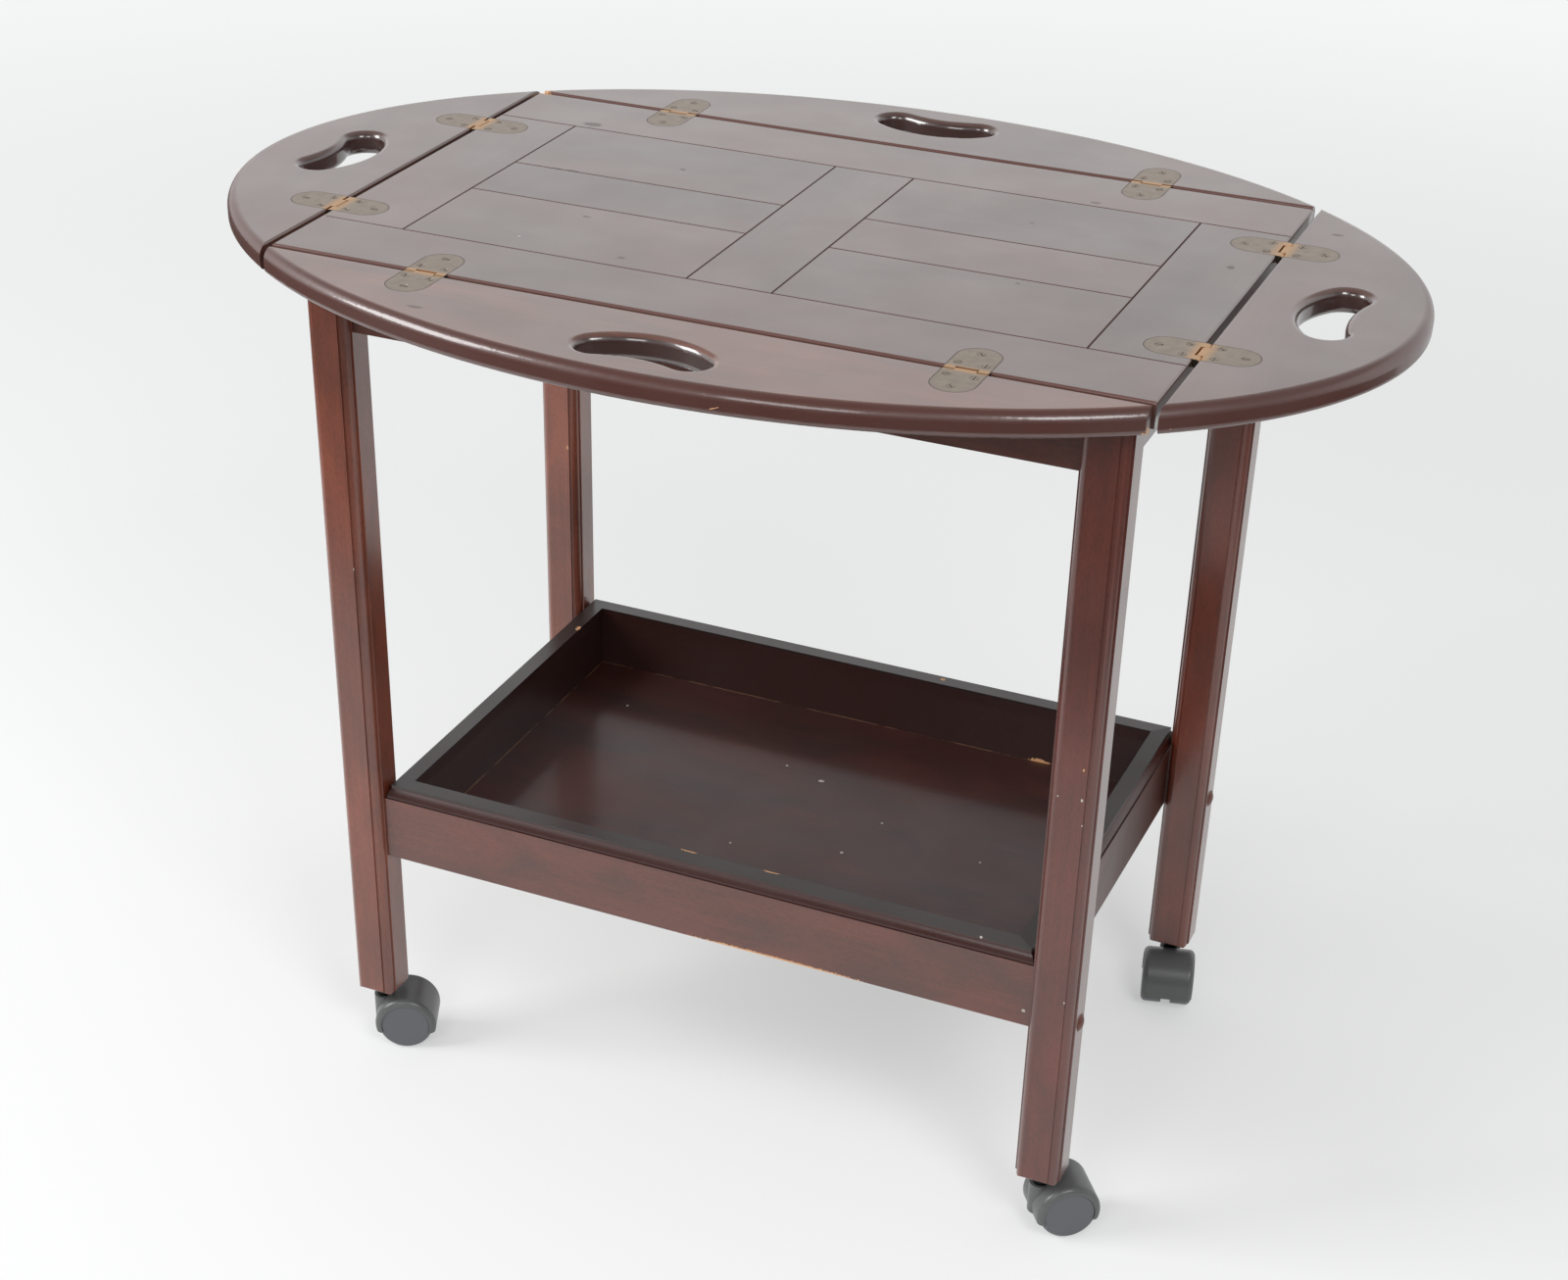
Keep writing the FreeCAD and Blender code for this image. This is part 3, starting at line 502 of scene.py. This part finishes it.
def agedBrassMaterial(name, plates):
    material, tree, shader = newMaterial(name, Metallic=1.0, Roughness=agedBrass["rough"])
    coords = objectCoords(tree)
    patches = noise(tree, coords, perMetre(agedBrass["patchSize"]), agedBrass["patchDetail"])
    colour = blendColour(tree, patches, linear(agedBrass["darkPatina"]), linear(agedBrass["patina"]))
    if plates:
        place = addNode(tree, "SeparateXYZ", {}, {0: coords}).outputs
        colour = blendColour(tree, wornBand(tree, place), colour, linear(agedBrass["worn"]))
        # The plates' outlines are darkened: dirt and painted shade for the gap round each recessed plate.
        grimeAndShade = plateOutline(tree, place)
    else:
        grimeAndShade = addNode(tree, "Attribute", {"attribute_name": "grimeAndShade"}, {}).outputs["Fac"]
    dirty = blendColour(tree, grimeAndShade, colour, linear(agedBrass["grimeAndShade"]))
    tree.links.new(dirty, shader.inputs["Base Color"])
    return material


# Moulded plastic and plain metal: an even colour with a fine grit from the mould or the plating.
grit = {"detail": 3.0, "shades": (0.88, 1.12), "strength": 0.4}
plainFinishes = {     # the colour, the grit's size and depth, the metallic value and the roughness
    "mouldedNylonHood": ("#565757", 0.9, 0.02, 0.0, 0.33),
    "mouldedNylonWheel": ("#585a5e", 0.9, 0.02, 0.0, 0.4),
    "zincPlatedSteel": ("#9a9a98", 2.0, 0.01, 1.0, 0.35),
    "blackenedSteel": ("#2a2a2b", 1.0, 0.01, 1.0, 0.4),
    "brownPlasticCap": ("#5a2f22", 1.0, 0.01, 0.0, 0.35),
    "plainBeech": ("#b98f63", 1.5, 0.03, 0.0, 0.6),
}
castorFinishes = {
    "hood": "mouldedNylonHood",
    "wheel_near": "mouldedNylonWheel",
    "wheel_far": "mouldedNylonWheel",
    "stem": "blackenedSteel",
    "axle": "zincPlatedSteel",
}
smallPartFinishes = {
    "castor_sockets": "zincPlatedSteel",
    "corner_block_screws": "zincPlatedSteel",
    "top_screws": "zincPlatedSteel",
    "tray_screws": "zincPlatedSteel",
    "tray_screw_caps": "brownPlasticCap",
    "apron_dowels": "plainBeech",
}


def plainMaterial(name, hexColour, gritSize, gritDepth, metallic, rough):
    material, tree, shader = newMaterial(name, Metallic=metallic, Roughness=rough)
    grain = noise(tree, objectCoords(tree), perMetre(gritSize), grit["detail"])
    shade = spread(tree, grain, (0.0, 1.0), grit["shades"])
    colour = shadeColour(tree, linear(hexColour)[:3], shade)
    bump = addNode(tree, "Bump", {}, {
        "Strength": grit["strength"], "Distance": gritDepth / 1000, "Height": grain})
    tree.links.new(colour, shader.inputs["Base Color"])
    tree.links.new(bump.outputs[0], shader.inputs["Normal"])
    return material


def finishHardware():
    plates = [owner + "_hinge_plates_" + side for owner in ("panel", "leaf") for side in sides]
    finishNodes(agedBrassMaterial("agedBrassPlates", True), "hinge_pins", *plates)
    plain = {name: plainMaterial(name, *values) for name, values in plainFinishes.items()}
    for corner in corners:
        for part, finish in castorFinishes.items():
            finishNodes(plain[finish], "castor_" + corner + "_" + part)
    for part, finish in smallPartFinishes.items():
        finishNodes(plain[finish], part)
    print("hardware finished")


finishHardware()


# Slotted countersunk brass screws, six to a node; dirt and painted shade in the eased rim draw a ring round
# each head.
hingeScrew = {
    "headRadius": 2.8,
    "shankRadius": 1.5,
    "headHeight": 1.3,
    "length": 13.0,
    "facets": 32,
    "tipInset": 0.6,     # as a share of the shank's radius
    "rimEase": 0.5,
    "rimLine": 0.4,      # how far the dirt and painted shade reach in over the head
    "rimGrimeAndShade": 0.65,
    "slotGrimeAndShade": 0.15,
    "slotWidth": 0.8,
    "slotDepth": 0.3,
    "smoothAngle": 30,
    "topHeight": 624.0,
    "pinLines": {"right": 291.0, "left": 291.0, "front": 183.0, "back": 183.0},
    "hingeSpacing": {"right": 192.0, "left": 192.0, "front": 354.0, "back": 354.0},
    "places": ((9.5, -8.5), (9.5, 8.5), (26.0, 0.0)),    # out from the pin line, and along it
    "slotTurns": {"side": 31, "hinge": 124, "screw": 47, "plate": 90},    # degrees from one to the next
}


def selectOnly(thing):
    bpy.ops.object.select_all(action="DESELECT")
    thing.select_set(True)
    bpy.context.view_layer.objects.active = thing


def editPicked(parts, wanted):  # opens the mesh for editing with only the wanted parts selected
    bpy.ops.object.mode_set(mode="EDIT")
    bpy.ops.mesh.select_mode(type="FACE")
    bpy.ops.mesh.select_all(action="DESELECT")
    bpy.ops.object.mode_set(mode="OBJECT")
    for part in parts:
        part.select = wanted(part)
    bpy.ops.object.mode_set(mode="EDIT")


def modelHingeScrew():
    head, shank, tall, length = metres(
        hingeScrew["headRadius"], hingeScrew["shankRadius"], hingeScrew["headHeight"], hingeScrew["length"])
    ease, line = metres(hingeScrew["rimEase"], hingeScrew["rimLine"])
    slotWidth, slotDepth = metres(hingeScrew["slotWidth"], hingeScrew["slotDepth"])
    tiny = 1e-6
    flat = 0.99     # the height of a face's normal past which the face counts as flat
    bpy.ops.object.select_all(action="DESELECT")
    bpy.ops.mesh.primitive_cone_add(vertices=hingeScrew["facets"], radius1=shank, radius2=head, depth=tall,
                                    location=(0, 0, -tall / 2))
    screw = bpy.context.active_object
    bpy.ops.object.transform_apply(location=True, rotation=True, scale=True)
    editPicked(screw.data.polygons, lambda face: face.normal.z < -flat)
    bpy.ops.mesh.inset(thickness=0, depth=length - tall)
    bpy.ops.mesh.inset(thickness=shank * hingeScrew["tipInset"])
    bpy.ops.object.mode_set(mode="OBJECT")
    editPicked(screw.data.polygons, lambda face: face.normal.z > flat)
    bpy.ops.mesh.inset(thickness=ease)
    bpy.ops.object.mode_set(mode="OBJECT")
    editPicked(screw.data.vertices,
               lambda vertex: vertex.co.z > -tiny and vertex.co.xy.length > head - ease / 2)
    bpy.ops.transform.translate(value=(0, 0, -ease))
    bpy.ops.object.mode_set(mode="OBJECT")
    editPicked(screw.data.polygons, lambda face: face.normal.z > flat)
    bpy.ops.mesh.inset(thickness=line)
    bpy.ops.object.mode_set(mode="OBJECT")
    bpy.ops.mesh.primitive_cube_add(size=1, location=(0, 0, 0))
    slot = bpy.context.active_object
    slot.scale = (3 * head, slotWidth, 2 * slotDepth)
    selectOnly(screw)
    cut = screw.modifiers.new("slot", "BOOLEAN")
    cut.operation = "DIFFERENCE"
    cut.solver = "EXACT"
    cut.object = slot
    bpy.ops.object.modifier_apply(modifier="slot")
    bpy.data.objects.remove(slot)
    # Darkens the screw's rim and slot bottom: dirt and painted shade in those recesses.
    grimeAndShade = screw.data.attributes.new("grimeAndShade", "FLOAT", "POINT")
    for vertex in screw.data.vertices:
        rim = vertex.co.xy.length > head - ease - line / 2
        low = vertex.co.z < -10 * tiny
        grimeAndShade.data[vertex.index].value = hingeScrew["rimGrimeAndShade"] if rim else hingeScrew["slotGrimeAndShade"] * low
    return screw


def placeScrews(screw, side, sign, number):  # the six of one plate line; sign -1 is the panel's
    turns = hingeScrew["slotTurns"]
    copies = []
    for hinge, along in enumerate((-0.5, 0.5)):
        for i, (out, beside) in enumerate(hingeScrew["places"]):
            turn = (turns["side"] * number + turns["hinge"] * hinge
                    + turns["screw"] * i + turns["plate"] * sign)
            x = hingeScrew["pinLines"][side] + sign * out
            y = along * hingeScrew["hingeSpacing"][side] + beside
            copy = screw.copy()
            copy.data = screw.data.copy()
            bpy.context.scene.collection.objects.link(copy)
            at = Matrix.Translation(metres(x, y, hingeScrew["topHeight"]))
            at = at @ Matrix.Rotation(math.radians(turn), 4, "Z")
            copy.matrix_world = Matrix.Rotation(math.radians(sides[side]), 4, "Z") @ at
            copies.append(copy)
    return copies


def joinPiece(copies, name, material):
    selectOnly(copies[0])
    for copy in copies:
        copy.select_set(True)
    bpy.ops.object.join()
    piece = bpy.context.active_object
    bpy.ops.object.transform_apply(location=True, rotation=True, scale=True)
    piece.name = name
    piece.data.materials.clear()
    piece.data.materials.append(material)
    bpy.ops.object.shade_smooth_by_angle(angle=math.radians(hingeScrew["smoothAngle"]))
    return piece


def makeHingeScrews():
    brass = agedBrassMaterial("agedBrassScrews", False)
    screw = modelHingeScrew()
    panelCopies = []
    for number, side in enumerate(sides):
        leafCopies = placeScrews(screw, side, 1, number)
        piece = joinPiece(leafCopies, "leafHingeScrews_" + side, brass)
        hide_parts("leaf_hinge_screws_" + side)
        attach(piece, side + "_leaf")
        panelCopies += placeScrews(screw, side, -1, number)
    piece = joinPiece(panelCopies, "panelHingeScrews", brass)
    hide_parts("panel_hinge_screws")
    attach(piece, "frame")
    bpy.data.objects.remove(screw)
    print("hinge screws made")


makeHingeScrews()


cameraSet = {
    "place": (0.6305, -1.5304, 1.1991),
    "yaw": 23.725,
    "pitch": 32.364,
    "roll": 0.95,
    "lens": 60.56,
    "shift": (0.0308, 0.1298),
}

# White paper on the floor and behind, an open dark room in front, above and beside, three softboxes.
studio = {
    "paper": "#ecedec",
    "paperSize": 14,
    "paperRough": 0.9,
    "paperSpecular": 0.1,
    "paperGlow": 0.95,
    "glowReach": (1.1, 3.4),              # metres from the middle over which the glow grows
    "glowShares": (0.45, 1.0),
    "paperEdges": (-1.3, 1.1, -0.85),     # metres: left, right and front
    "roomFloor": "#3a3634",
    "roomFloorRough": 0.8,
    "roomFloorHeight": 0.002,
    "roomDepth": 6,
    "roomDepthRight": 2,
    "worldLight": 0.56,
    "worldTint": "#fbfcfc",
    "backwards": (-0.1, 0.99, 0.0),       # the room darkens away from this direction
    "roomSpan": (-0.6, 0.4),
    "roomShade": 0.14,
    "ceilingSpan": (0.46, 0.6),           # and upwards past these heights
    "ceilingShade": 0.35,
    "lampAim": (0, 0, 0.35),
    "lamps": (                            # a place, a size in metres and the watts
        ("keyLamp", (-2.3, -1.35, 1.9), 1.3, 62.0),
        ("frontLamp", (0.0, -2.6, 1.9), 0.9, 14.0),
        ("rightLamp", (1.6, -1.5, 2.2), 0.9, 26.0),
    ),
}


def makeCamera():
    camera = bpy.data.objects.new("camera", bpy.data.cameras.new("camera"))
    bpy.context.scene.collection.objects.link(camera)
    turn = Euler((math.radians(90 - cameraSet["pitch"]), 0, math.radians(cameraSet["yaw"]))).to_matrix()
    turn = turn @ Matrix.Rotation(math.radians(cameraSet["roll"]), 3, "Z")
    camera.matrix_world = Matrix.Translation(cameraSet["place"]) @ turn.to_4x4()
    camera.data.lens = cameraSet["lens"]
    camera.data.shift_x, camera.data.shift_y = cameraSet["shift"]
    bpy.context.scene.camera = camera


def seenDirectly(tree, rays):  # 1 for a camera, glossy or transmission ray
    seen = maths(tree, "MAXIMUM", rays["Is Camera Ray"], rays["Is Glossy Ray"])
    return maths(tree, "MAXIMUM", seen, rays["Is Transmission Ray"])


def addPlane(name, size, middle, scale, material):
    bpy.ops.object.select_all(action="DESELECT")
    bpy.ops.mesh.primitive_plane_add(size=size, location=middle)
    plane = bpy.context.active_object
    plane.name = name
    plane.scale = scale
    plane.data.materials.append(material)
    return plane


def makeFloor():
    paper, tree, shader = newMaterial(
        "studioPaper", Roughness=studio["paperRough"], Base_Color=linear(studio["paper"]),
        Specular_IOR_Level=studio["paperSpecular"])
    rays = addNode(tree, "LightPath", {}, {}).outputs
    away = distance(tree, objectCoords(tree))
    far = spread(tree, away, studio["glowReach"], studio["glowShares"], smooth=True)
    share = maths(tree, "MULTIPLY", seenDirectly(tree, rays), far)
    glow = addNode(tree, "Emission", {}, {
        "Color": linear(studio["worldTint"]), "Strength": studio["paperGlow"]})
    shown = addNode(tree, "MixShader", {}, {0: share, 1: shader.outputs[0], 2: glow.outputs[0]})
    output = next(node for node in tree.nodes if node.type == "OUTPUT_MATERIAL")
    tree.links.new(shown.outputs[0], output.inputs["Surface"])
    floor = addPlane("studioFloor", studio["paperSize"], (0, 0, 0), (1, 1, 1), paper)
    boards = newMaterial("roomFloorBoards", Roughness=studio["roomFloorRough"],
                         Base_Color=linear(studio["roomFloor"]))[0]
    left, right, front = studio["paperEdges"]
    height, depth, depthRight = studio["roomFloorHeight"], studio["roomDepth"], studio["roomDepthRight"]
    for name, x, y, size in (
        ("roomFront", 0, front - depth / 2, (studio["paperSize"], depth, 1)),
        ("roomLeft", left - depth / 2, front + depth / 2, (depth, depth, 1)),
        ("roomRight", right + depth / 2, front + depthRight / 2, (depth, depthRight, 1)),
    ):
        room = addPlane(name, 1, (x, y, height), size, boards)
        room.visible_camera = room.visible_diffuse = False
        room.visible_shadow = room.visible_transmission = False


def makeLights():
    world = bpy.data.worlds.new("studioWorld")
    bpy.context.scene.world = world
    world.use_nodes = True
    tree = world.node_tree
    tree.nodes.clear()
    rays = addNode(tree, "LightPath", {}, {}).outputs
    coords = addNode(tree, "TexCoord", {}, {}).outputs["Generated"]
    backwards = vectorMaths(tree, "DOT_PRODUCT", coords, studio["backwards"]).outputs["Value"]
    room = spread(tree, backwards, studio["roomSpan"], (studio["roomShade"], 1.0), smooth=True)
    height = addNode(tree, "SeparateXYZ", {}, {0: coords}).outputs[2]
    ceiling = spread(tree, height, studio["ceilingSpan"], (1.0, studio["ceilingShade"]), smooth=True)
    shown = blend(tree, rays["Is Glossy Ray"], 1.0, maths(tree, "MULTIPLY", room, ceiling))
    strength = blend(tree, seenDirectly(tree, rays), studio["worldLight"], shown)
    light = addNode(tree, "Background", {}, {"Color": linear(studio["worldTint"]), "Strength": strength})
    addNode(tree, "OutputWorld", {}, {"Surface": light.outputs[0]})
    for name, place, size, power in studio["lamps"]:
        lamp = bpy.data.objects.new(name, bpy.data.lights.new(name, "AREA"))
        lamp.data.size = size
        lamp.data.energy = power
        lamp.location = place
        aim = Vector(studio["lampAim"]) - Vector(place)
        lamp.rotation_euler = aim.to_track_quat("-Z", "Y").to_euler()
        lamp.visible_camera = False
        bpy.context.scene.collection.objects.link(lamp)


makeCamera()
makeFloor()
makeLights()
bpy.context.scene.view_settings.view_transform = "Standard"
print("studio set")
